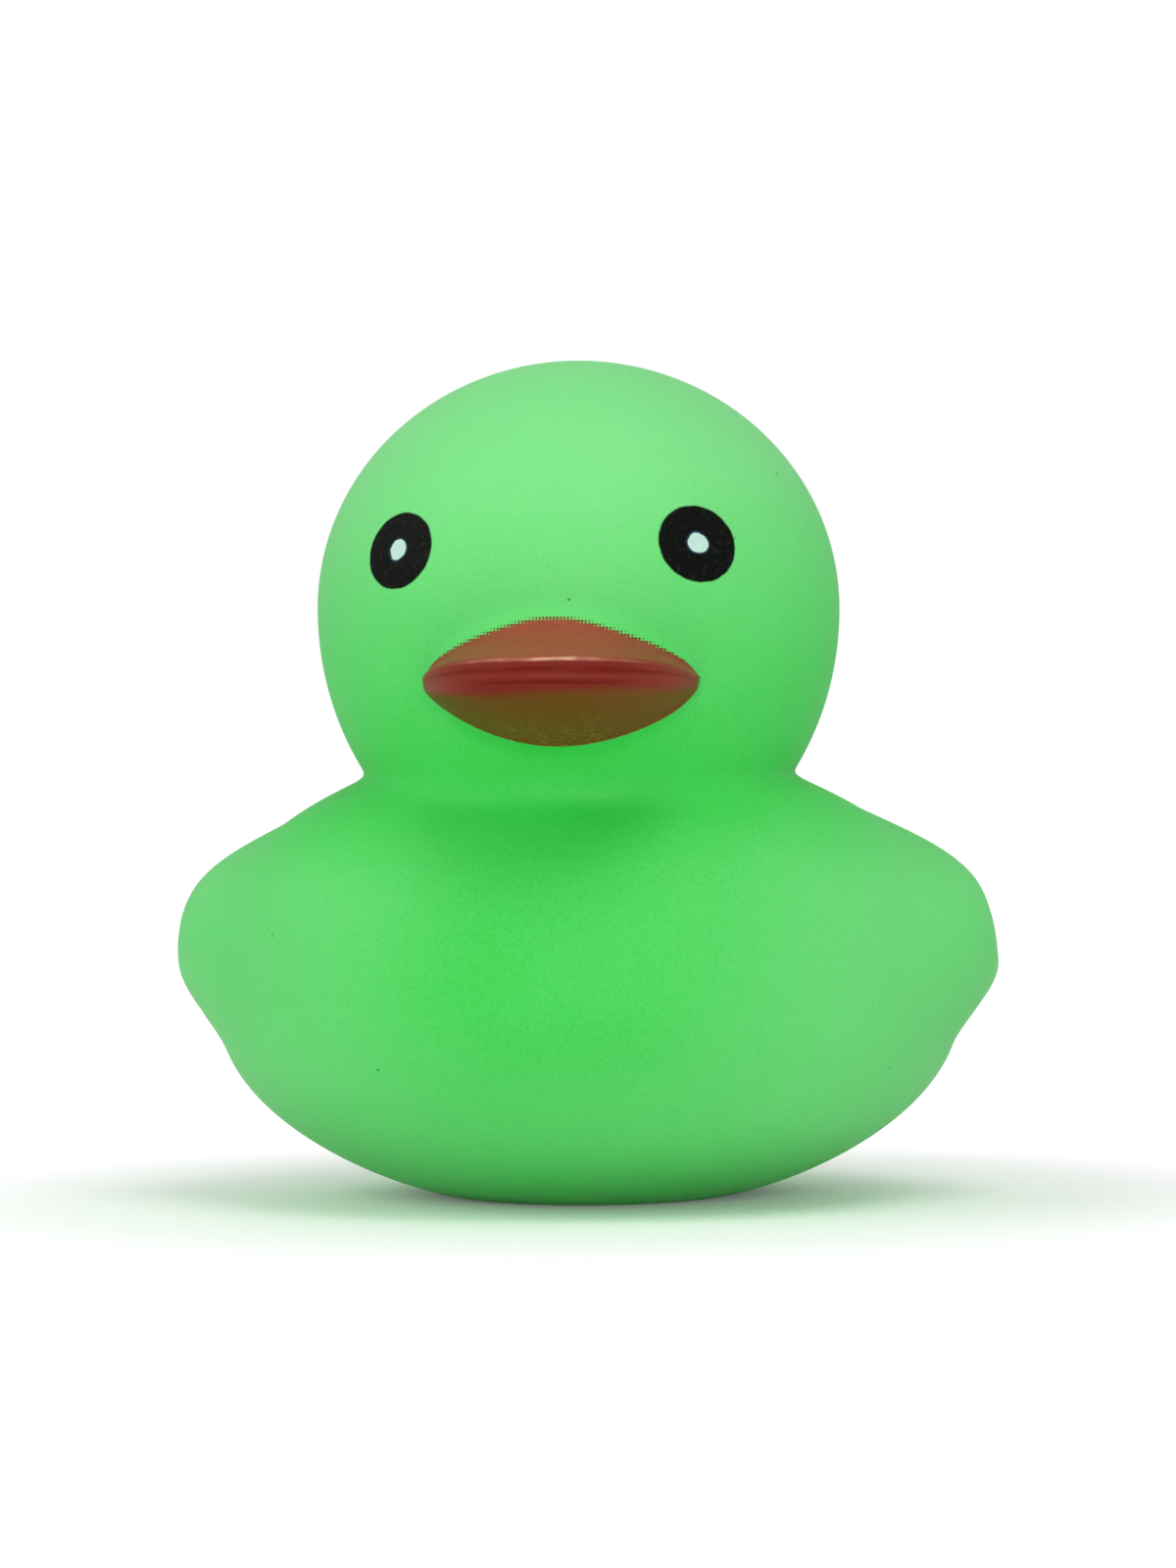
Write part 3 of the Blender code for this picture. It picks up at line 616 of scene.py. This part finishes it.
def new_material(name, **constants):
    """A Principled material with constants on its sockets; returns it, its shader and its coordinates."""
    material = bpy.data.materials.new(name)
    material.use_nodes = True
    tree = material.node_tree
    shader = tree.nodes["Principled BSDF"]
    for key, value in constants.items():
        shader.inputs[key.replace("_", " ")].default_value = value
    start = Signal(tree, None)
    place = start.made("ShaderNodeTexCoord", output="Object")
    return material, shader, place


def feed(shader, **links):
    """Links each signal to the shader's socket of that name."""
    for key, value in links.items():
        value.tree.links.new(value.socket, shader.inputs[key.replace("_", " ")])


print("shader maths ready")

# %% [markdown]
# ## Vinyl, paint and print
#
# The vinyl is matt and a little see-through: light goes in, spreads about a millimetre and comes out again,
# greener. The bill is sprayed through a mask in terracotta, darker red along the closed mouth and thin and
# olive below, as if the green showed through; these colours are partly painted light, the top lit from
# above and the underside darker as painted shade. The eyes are stamped on: black ovals with a small pale
# pupil.
# All of it is one surface, so it is one material. The colours are linear RGB, and were set by comparing the
# render with the photograph.

# %% The colours
# VINYL_PALE is the vinyl's green where painted light lies on it; VINYL_DEEP is its own deep green.
VINYL_DEEP, VINYL_PALE, SPECK = (0.028, 0.575, 0.062), (0.175, 0.665, 0.21), (0.02, 0.16, 0.03)
# TERRACOTTA, CRIMSON and OLIVE are partly lit and shaded copies of one paint: the top lit from above, the
# underside in painted shade.
TERRACOTTA, TERRACOTTA_EDGE, RIDGE_HIGHLIGHT = (0.31, 0.073, 0.038), (0.10, 0.03, 0.012), (0.72, 0.38, 0.27)
CRIMSON, CRIMSON_DARK, CRIMSON_PALE = (0.175, 0.018, 0.011), (0.12, 0.007, 0.004), (0.22, 0.035, 0.022)
OLIVE, OLIVE_BROWN, OLIVE_VEIN = (0.14, 0.058, 0.008), (0.18, 0.058, 0.018), (0.24, 0.19, 0.04)
EYE_BLACK, EYE_SCUFF_AND_GLINT = (0.003, 0.004, 0.003), (0.03, 0.035, 0.03)
PUPIL, PUPIL_RIM = (0.47, 0.68, 0.60), (0.03, 0.07, 0.12)
print("the vinyl runs from", VINYL_DEEP, "to", VINYL_PALE)

# %% [markdown]
# ### Painted light on the vinyl
#
# The green isn't even. A paler green is painted on the crown, on the flanks and low on the belly, and the
# neck and the breast keep the deep green. The paler green is painted light: a painted sheen on the head and
# the upper flanks, lit from above, less of it on the left cheek and more on the left flank, and painted
# light that lifts the low belly; the neck, under the head, stays deep as painted shade. The pale share is a
# sum of soft steps of the place on the duck, in millimetres, with a cloudy noise and the grain of the mould
# added, which are the vinyl's own uneven tone. Each pair below is where a step starts and ends. Left and
# right are the duck's own, so left is +X. A few dark specks lie in the green.

# %% The vinyl's green
GRAIN_SCALE, GRAIN_TONE, CLOUD_SCALE, CLOUD_TONE = 5000.0, 0.5, 90.0, 0.3
HEAD_SHEEN_Z, CROWN_Z, LEFT_CHEEK_X, LEFT_CHEEK_LESS = (23, 46), (38, 46), (6, 17), 0.3
FLANK_X, LEFT_FLANK_X, LEFT_FLANK_MORE, RIGHT_FLANK, BACK_Y = (1, 20), (-16, 10), 0.4, 0.8, (-10, 5)
NECK_FADE_Z, BREAST_PAINTED_LIGHT, LOW_BELLY_Z, LOW_BELLY_PAINTED_LIGHT = (18, 26), 0.05, (3, 14), 0.45
FLANK_PAINTED_LIGHT, FLANK_RISE_Z, FLANK_RISE = 0.15, (2, 15), 0.45
SPECK_CELLS, SPECK_EDGE, SPECK_STRENGTH = 170.0, (0.012, 0.022), 0.8

skin_material, skin_shader, place = new_material(
    "green_vinyl_skin",
    Subsurface_Weight=0.35,
    Subsurface_Radius=(0.5, 1.0, 0.4),
    Subsurface_Scale=1.2 * MM,
    IOR=1.42,
)
to_left = place.dot((1 / MM, 0, 0))
aside = to_left.maths("ABSOLUTE")
back = place.dot((0, 1 / MM, 0))
height = place.dot((0, 0, 1 / MM))
grain = place.noise(GRAIN_SCALE)

# Painted light: a sheen on the head from above, less of it on the left cheek, light on the flanks rising
# with height and on the low belly, none at the neck, which stays deep as painted shade.
left_cheek_painted_shade = to_left.step(*LEFT_CHEEK_X) * (1 - height.step(*CROWN_Z))
head_painted_sheen = height.step(*HEAD_SHEEN_Z) * (1 - left_cheek_painted_shade * LEFT_CHEEK_LESS)
side_share = to_left.step(*LEFT_FLANK_X) * LEFT_FLANK_MORE + RIGHT_FLANK
flanks = (aside.step(*FLANK_X) * side_share + back.step(*BACK_Y)).clamped()
low_belly_painted_light = (1 - height.step(*LOW_BELLY_Z)) * LOW_BELLY_PAINTED_LIGHT
flank_painted_light = flanks * (FLANK_PAINTED_LIGHT + height.step(*FLANK_RISE_Z) * FLANK_RISE)
body_painted_light = (1 - height.step(*NECK_FADE_Z)) * (BREAST_PAINTED_LIGHT + low_belly_painted_light + flank_painted_light)
clouds = (place.noise(CLOUD_SCALE, 3.0) - 0.5) * CLOUD_TONE
# The pale share: painted light, plus the vinyl's own clouds and grain.
painted_light_and_mottle = head_painted_sheen + body_painted_light + clouds + (grain - 0.5) * GRAIN_TONE
vinyl = painted_light_and_mottle.clamped().colour(VINYL_DEEP, VINYL_PALE)

speck = 1 - place.cells("F1", SPECK_CELLS).step(*SPECK_EDGE)
vinyl = (speck * SPECK_STRENGTH).colour(vinyl, SPECK)
print("the vinyl's green takes", len(skin_material.node_tree.nodes), "nodes")

# %% [markdown]
# ### Where the paint lies
#
# A point is painted where its mark says that it lies inside the border. Along the top of the bill the paint
# ends in the dots of a printing screen: two sine waves at right angles, multiplied, move the border in and
# out by up to 0.3 mm. Elsewhere the same waves only roughen it.

# %% The painted border
SCREEN_PITCH, SCREEN_DEPTH, SCREEN_ELSEWHERE, SCREEN_ENDS_X = 0.2, 0.26, 0.03, (5.5, 7.5)
ON_TOP, PAINT_EDGE = (0.55, 0.62), (-0.03, 0.05)

inside = place.made("ShaderNodeAttribute", {"attribute_name": "inside_paint"}, output="Fac")
round_beak = place.made("ShaderNodeAttribute", {"attribute_name": "beak_place"}, output="Fac")
screen = place.times((1 / SCREEN_PITCH / MM,) * 3)
dots = (screen.dot((1, 0, 1)) * math.pi).maths("SINE") * (screen.dot((1, 0, -1)) * math.pi).maths("SINE")
dotted = round_beak.step(*ON_TOP) * (1 - aside.step(*SCREEN_ENDS_X))
fringe = inside + dots * (dotted * SCREEN_DEPTH + SCREEN_ELSEWHERE)
painted = fringe.step(*PAINT_EDGE)
print("the screen has", round(1 / SCREEN_PITCH), "dots a millimetre")

# %% [markdown]
# ### The bill's colours
#
# The colours follow the place round the beak: olive under the bill, crimson along the closed mouth and
# terracotta on top. They are partly lit and shaded copies of one paint: the top lit from above, the
# underside darker as painted shade. Fine streaks make each border waver. Thin lines along the lip are
# painted shade in the two mouth grooves and a painted highlight on the swelling between them, and a last
# one is a painted highlight on the ridge over the lip. The paint is thin under the middle of the bill, with
# pale veins, and slightly mottled all over.

# %% The bill's colours
STREAKS, STREAK_WAVER = (260.0, 260.0, 2200.0), 0.03
VEIN_CELLS, VEIN_EDGE, VEIN_STRENGTH = 1500.0, (0.02, 0.09), 0.45
VEIN_ENDS_X, VEIN_ENDS = (1.5, 5.5), (0.12, 0.34)
UNDER_TO_LIP, LIP_TO_TOP, ASKEW_X, ASKEW = (0.33, 0.41), (0.575, 0.60), (-6.0, 4.0), 0.05
UNDER_BROWN_X, LIP_TERRACOTTA_X, LIP_TERRACOTTA = (1.0, 7.0), (3.0, 8.0), 0.45
TOP_RIM, TOP_RIM_DARK, TOP_SIDE_X, TOP_SIDE_DARK = (0.0, 0.3), 0.6, (1.0, 7.0), 0.18
RIDGE_HIGHLIGHT_LINE, RIDGE_HIGHLIGHT_ENDS_X = (0.594, 0.022), (1.0, 6.0)
GLEAM_SCALE, GLEAM_EDGE, GLEAM_LEAST = 420.0, (0.42, 0.6), 0.25
SIDE_LINE, SIDE_LINE_X, SIDE_LINE_STRENGTH = (0.61, 0.03), (2.0, 6.0), 0.6
STREAK_EDGE, STREAK_STRENGTH = (0.4, 0.7), 0.15
MOTTLE_SCALE, MOTTLE_EDGE, MOTTLE_STRENGTH = 2400.0, (0.5, 0.75), 0.3
# Painted shade in the two mouth grooves (dark) and a painted highlight on the swelling between them (pale).
# Each line of the mouth: its place and half-width, where it fades aside and by how much, strength, colour
MOUTH_SHADE_AND_HIGHLIGHT_LINES = (
    ((0.495, 0.020), (2.0, 5.5), 0.0, 0.6, CRIMSON_PALE),
    ((0.460, 0.016), (2.0, 5.5), 1.0, 0.9, CRIMSON_DARK),
    ((0.530, 0.022), (3.0, 9.0), 0.6, 0.8, CRIMSON_DARK),
)

streak = place.times(STREAKS).noise(1.0, 3.0)
wavy = round_beak + (streak - 0.5) * STREAK_WAVER
thin_paint = (1 - aside.step(*VEIN_ENDS_X)) * (1 - round_beak.step(*VEIN_ENDS))
vein = (1 - place.cells("DISTANCE_TO_EDGE", VEIN_CELLS).step(*VEIN_EDGE)) * thin_paint
under = to_left.step(*UNDER_BROWN_X).colour(OLIVE, OLIVE_BROWN)
under = (vein * VEIN_STRENGTH).colour(under, OLIVE_VEIN)
lip = (aside.step(*LIP_TERRACOTTA_X) * LIP_TERRACOTTA).colour(CRIMSON, TERRACOTTA)
# The mouth's lines: painted shade in the two grooves, a painted highlight on the swelling between them.
for line, ends, fading, strength, shade in MOUTH_SHADE_AND_HIGHLIGHT_LINES:
    lip = (wavy.line(*line) * (1 - aside.step(*ends) * fading) * strength).colour(lip, shade)
top_dark = (1 - inside.step(*TOP_RIM)) * TOP_RIM_DARK + aside.step(*TOP_SIDE_X) * TOP_SIDE_DARK
top = top_dark.colour(TERRACOTTA, TERRACOTTA_EDGE)
# Olive under, crimson lip, terracotta top: partly lit and shaded copies of one paint, the top lit from
# above and the underside in painted shade.
paint = (wavy - to_left.step(*ASKEW_X) * ASKEW).step(*UNDER_TO_LIP).colour(under, lip)
paint = wavy.step(*LIP_TO_TOP).colour(paint, top)
gleam = place.noise(GLEAM_SCALE).step(*GLEAM_EDGE) * (1 - GLEAM_LEAST) + GLEAM_LEAST
# Painted highlight along the ridge over the lip, broken up by the gleam.
paint = (wavy.line(*RIDGE_HIGHLIGHT_LINE) * gleam * (1 - aside.step(*RIDGE_HIGHLIGHT_ENDS_X))).colour(paint, RIDGE_HIGHLIGHT)
paint = (wavy.line(*SIDE_LINE) * aside.step(*SIDE_LINE_X) * SIDE_LINE_STRENGTH).colour(paint, CRIMSON)
paint = (streak.step(*STREAK_EDGE) * STREAK_STRENGTH).colour(paint, CRIMSON_PALE)
mottle = place.noise(MOTTLE_SCALE, 3.0, 0.65).step(*MOTTLE_EDGE)
paint = (mottle * MOTTLE_STRENGTH).colour(paint, TERRACOTTA_EDGE)
skin_colour = painted.colour(vinyl, paint)
print("the bill's lip begins", LIP_LOW_AT, "and ends", LIP_TOP_AT, "of the way round it")

# %% [markdown]
# ### The eyes
#
# A point of the skin belongs to an eye where its offset from the eye's centre, measured along the skin in
# half-widths and half-heights, is shorter than 1. The pupil is the same sum with its own radius. A little
# noise on that length makes the stamped edge slightly uneven. The stamp sat a little to one side, so each
# eye has its own angle from the beak's middle and its own height.

# %% Where the eyes are
EYE_PLACES = ((math.radians(-38.4), 38.45), (math.radians(31.5), 38.65))
EYE_HALF_WIDTH, EYE_HALF_HEIGHT, PUPIL_RADIUS = 2.47, 2.28, 0.65


def eye_frame(angle, height):
    """The eye's centre on the head, the way out of it, and the two directions along the skin."""
    ring = float(head_radius(height))
    centre = Vector((ring * math.sin(angle), HEAD_Y - ring * math.cos(angle), height))
    away = centre - Vector((0, HEAD_Y, HEAD_Z))
    out = Vector((away.x / HEAD_RADIUS**2, away.y / HEAD_RADIUS**2, away.z / HEAD_ABOVE**2)).normalized()
    side = Vector((0, 0, 1)).cross(out).normalized()
    return centre * MM, out, side, out.cross(side)


eyes = [eye_frame(angle, height) for angle, height in EYE_PLACES]
print("eyes at", [tuple(round(c / MM, 1) for c in eye[0]) for eye in eyes])

# %% Stamp the eyes
EYE_EDGE, EYE_WOBBLE, WOBBLE_SCALE, PRINT_DEPTH = (0.97, 1.02), 0.045, 1400.0, (-3.2, -3.0)
PUPIL_EDGE, PUPIL_RIM_EDGE, PUPIL_WOBBLE, PUPIL_RIM_STRENGTH = (0.92, 1.02), (1.05, 1.25), 0.5, 0.6
SCUFF_GLINT_SCALE, SCUFF_GLINT_EDGE, SCUFF_GLINT_STRENGTH = 3600.0, (0.54, 0.66), 0.4

wobble = place.noise(WOBBLE_SCALE) - 0.5
# Grey flecks in the black ink: scuffs, and painted glints of light on the wrinkled ink.
scuffs_and_glints = place.noise(SCUFF_GLINT_SCALE, 4.0, 0.75).step(*SCUFF_GLINT_EDGE)
is_eye = None
for centre, out, side, above in eyes:
    offset = place.minus(centre)
    across = offset.dot(side) / (EYE_HALF_WIDTH * MM)
    up = offset.dot(above) / (EYE_HALF_HEIGHT * MM)
    length = (across * across + up * up).maths("SQRT")
    near = (offset.dot(out) / MM).step(*PRINT_DEPTH)
    oval = (1 - (length + wobble * EYE_WOBBLE).step(*EYE_EDGE)) * near
    spot = length * (EYE_HALF_WIDTH / PUPIL_RADIUS) + wobble * PUPIL_WOBBLE
    pupil = (1 - spot.step(*PUPIL_EDGE)) * near
    rim = (1 - spot.step(*PUPIL_RIM_EDGE)) * near
    ink = (scuffs_and_glints * SCUFF_GLINT_STRENGTH).colour(EYE_BLACK, EYE_SCUFF_AND_GLINT)
    ink = (rim * PUPIL_RIM_STRENGTH).colour(ink, PUPIL_RIM)
    ink = pupil.colour(ink, PUPIL)
    skin_colour = oval.colour(skin_colour, ink)
    is_eye = oval if is_eye is None else is_eye + oval
print("each eye is", 2 * EYE_HALF_WIDTH, "by", 2 * EYE_HALF_HEIGHT, "mm")

# %% [markdown]
# ### Ink and paint over the vinyl
#
# Ink and paint hide the light inside the vinyl and hardly shine. So they get a shader of their own, with no
# light under the skin, and a Mix Shader passes from one to the other where the skin is covered. Both have
# the same fine relief: the grain of the mould, weaker under the paint, and the paint's streaks.

# %% Lay the layers over each other
VINYL_ROUGH, PAINT_SMOOTHER, GRAIN_ROUGH, INK_SHINE = 0.56, -0.14, 0.08, 0.05
RELIEF_STRENGTH, RELIEF_HEIGHT, GRAIN_HIDDEN, STREAK_RELIEF = 0.35, 0.02, 0.5, 0.4

covered = (painted + is_eye).clamped()
roughness = covered * PAINT_SMOOTHER + VINYL_ROUGH + (grain - 0.5) * GRAIN_ROUGH
relief_map = grain * (1 - covered * GRAIN_HIDDEN) + streak * painted * STREAK_RELIEF
relief_inputs = {"Strength": RELIEF_STRENGTH, "Distance": RELIEF_HEIGHT * MM, "Height": relief_map}
relief = place.made("ShaderNodeBump", {}, relief_inputs)
ink_shader = skin_material.node_tree.nodes.new("ShaderNodeBsdfPrincipled")
ink_shader.inputs["Specular IOR Level"].default_value = INK_SHINE
layers = covered.made("ShaderNodeMixShader", {}, {0: covered})
for at, layer in ((1, skin_shader), (2, ink_shader)):
    feed(layer, Base_Color=skin_colour, Roughness=roughness, Normal=relief)
    skin_material.node_tree.links.new(layer.outputs[0], layers.socket.node.inputs[at])
surface = skin_material.node_tree.nodes["Material Output"].inputs["Surface"]
skin_material.node_tree.links.new(layers.socket, surface)
duck_skin.data.materials.append(skin_material)
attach(duck_skin, "root")
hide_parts("duck_body")
print("skin material has", len(skin_material.node_tree.nodes), "nodes")

# %% [markdown]
# ## The squeaker
#
# The squeaker and its reed keep their own solids, because a turned plug and a stamped disc are already
# exact. They only need a finish: off-white moulded plastic that is slightly mottled, and a clouded film.

# %% Finish the squeaker and the reed
PLUG_SHADE, PLUG_WHITE = (0.70, 0.70, 0.66), (0.78, 0.78, 0.75)
FILM_SHADE, FILM_WHITE = (0.52, 0.55, 0.53), (0.63, 0.65, 0.63)

plug_material, plug_shader, place = new_material("squeaker_white", IOR=1.5)
cloud = place.noise(700.0, 3.0)
feed(
    plug_shader,
    Base_Color=cloud.step(0.3, 0.7).colour(PLUG_SHADE, PLUG_WHITE),
    Roughness=cloud * 0.15 + 0.32,
    Normal=cloud.made("ShaderNodeBump", {}, {"Strength": 0.2, "Distance": 0.02 * MM, "Height": cloud}),
)
reed_material, reed_shader, place = new_material("reed_film", IOR=1.5)
haze = place.noise(1500.0)
feed(
    reed_shader,
    Base_Color=haze.step(0.3, 0.7).colour(FILM_SHADE, FILM_WHITE),
    Roughness=haze * 0.2 + 0.2,
)
for node, finish in (("squeaker", plug_material), ("squeaker_reed", reed_material)):
    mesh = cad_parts[node].data
    mesh.materials.clear()
    mesh.materials.append(finish)
    mesh.polygons.foreach_set("material_index", np.zeros(len(mesh.polygons), np.int32))

# %% [markdown]
# ## Floor and room
#
# The duck stands on a pale floor in an even white room, as for a catalogue. To the camera the floor turns
# white a few centimetres away from the duck, and near the duck it holds the soft shadow. That white is for
# camera rays only, so it lights nothing. The room's wall in front of the duck is darker, so that the lamps
# shape the front.

# %% Floor and room
FLOOR_HALF, FLOOR_DOWN, FLOOR_GREY = 1.5, 0.02, (0.93, 0.93, 0.93)
FLOOR_WHITE_FROM, WHITE_FAR, WHITE_NEAR = (0.028, 0.05), 0.92, 0.08
ROOM_LIGHT, ROOM_DARK, ROOM_DARK_FROM = (0.62, 0.62, 0.62), (0.15, 0.15, 0.15), (0.55, 0.9)
BLACK, WHITE = (0.0, 0.0, 0.0), (1.0, 1.0, 1.0)

floor_mesh = bpy.data.meshes.new("floor")
signs = ((-1, -1), (1, -1), (1, 1), (-1, 1))
floor_corners = [(x * FLOOR_HALF, y * FLOOR_HALF, -FLOOR_DOWN * MM) for x, y in signs]
floor_mesh.from_pydata(floor_corners, [], [(0, 1, 2, 3)])
floor = bpy.data.objects.new("floor", floor_mesh)
bpy.context.scene.collection.objects.link(floor)
floor_material, floor_shader, place = new_material("pale_floor", Roughness=0.9, Emission_Strength=1.0)
seen = place.made("ShaderNodeLightPath", output="Is Camera Ray")
distance = place.made("ShaderNodeVectorMath", {"operation": "LENGTH"}, {0: place}, "Value")
far = distance.step(*FLOOR_WHITE_FROM) * seen
feed(
    floor_shader,
    Base_Color=far.colour(FLOOR_GREY, BLACK),
    Emission_Color=(far * WHITE_FAR + seen * WHITE_NEAR).colour(BLACK, WHITE),
)
floor_mesh.materials.append(floor_material)

world = bpy.data.worlds.new("room")
bpy.context.scene.world = world
world.use_nodes = True
room = world.node_tree.nodes["Background"]
ray = Signal(world.node_tree, None).made("ShaderNodeLightPath", output="Is Camera Ray")
way = ray.made("ShaderNodeTexCoord", output="Generated")
walls = way.dot((0, -1, 0)).step(*ROOM_DARK_FROM).colour(ROOM_LIGHT, ROOM_DARK)
world.node_tree.links.new(ray.colour(walls, WHITE).socket, room.inputs["Color"])
room.inputs["Strength"].default_value = 1.0
print("floor is", 2 * FLOOR_HALF, "m wide")

# %% [markdown]
# ## Lamps
#
# Three round soft lamps: one above and to the right, one on the left, and one low in front, which lifts the
# bottom of the bill and the belly. All are aimed at the duck's middle.

# %% Lamps
# Each lamp: name, place in metres, width in metres, watts
LAMPS = (
    ("lamp_above", (0.13, -0.22, 0.54), 0.35, 0.95),
    ("lamp_left", (-0.45, -0.20, 0.30), 0.40, 0.65),
    ("lamp_low", (0.05, -0.45, 0.03), 0.30, 1.25),
)
aim = Vector((0, 0, TOTAL_HEIGHT / 2 * MM))
for name, spot, size, watts in LAMPS:
    lamp = bpy.data.lights.new(name, "AREA")
    lamp.shape, lamp.size, lamp.energy = "DISK", size, watts
    holder = bpy.data.objects.new(name, lamp)
    turn = (aim - Vector(spot)).to_track_quat("-Z", "Y").to_matrix().to_4x4()
    holder.matrix_world = Matrix.Translation(spot) @ turn
    bpy.context.scene.collection.objects.link(holder)
print([lamp[0] for lamp in LAMPS])

# %% [markdown]
# ## The camera
#
# The picture is 1200 by 1600 pixels. The duck is seen almost from the front, from a little to its left,
# at the height of its neck and about a third of a metre away, and the picture leans by about a third of a
# degree. The lens follows from the distance and from how many pixels a millimetre takes.

# %% Set the camera
CAMERA_TURN, CAMERA_AWAY, CAMERA_HEIGHT = math.radians(4.5), 320.0, 27.0
PIXELS_PER_MM, CENTRE_X, CENTRE_Y, LEAN = 16.9, 598.4, 763.9, math.radians(0.35)
PICTURE_WIDTH, PICTURE_HEIGHT, SENSOR = 1200, 1600, 36

camera_data = bpy.data.cameras.new("camera")
camera_data.sensor_width = SENSOR
camera_data.lens = SENSOR * CAMERA_AWAY * PIXELS_PER_MM / PICTURE_HEIGHT
camera_data.shift_x = (PICTURE_WIDTH / 2 - CENTRE_X) / PICTURE_HEIGHT
camera_data.shift_y = (CENTRE_Y - PICTURE_HEIGHT / 2) / PICTURE_HEIGHT
camera_data.clip_start = 0.02
camera = bpy.data.objects.new("camera", camera_data)
stand = Vector((math.sin(CAMERA_TURN), -math.cos(CAMERA_TURN), 0)) * CAMERA_AWAY * MM
camera.matrix_world = (
    Matrix.Translation(stand + Vector((0, 0, CAMERA_HEIGHT * MM)))
    @ Matrix.Rotation(CAMERA_TURN, 4, "Z")
    @ Matrix.Rotation(math.pi / 2, 4, "X")
    @ Matrix.Rotation(-LEAN, 4, "Z")
)
bpy.context.scene.collection.objects.link(camera)
bpy.context.scene.camera = camera
bpy.context.scene.view_settings.view_transform = "Standard"
print("lens", round(camera_data.lens, 1), "mm")
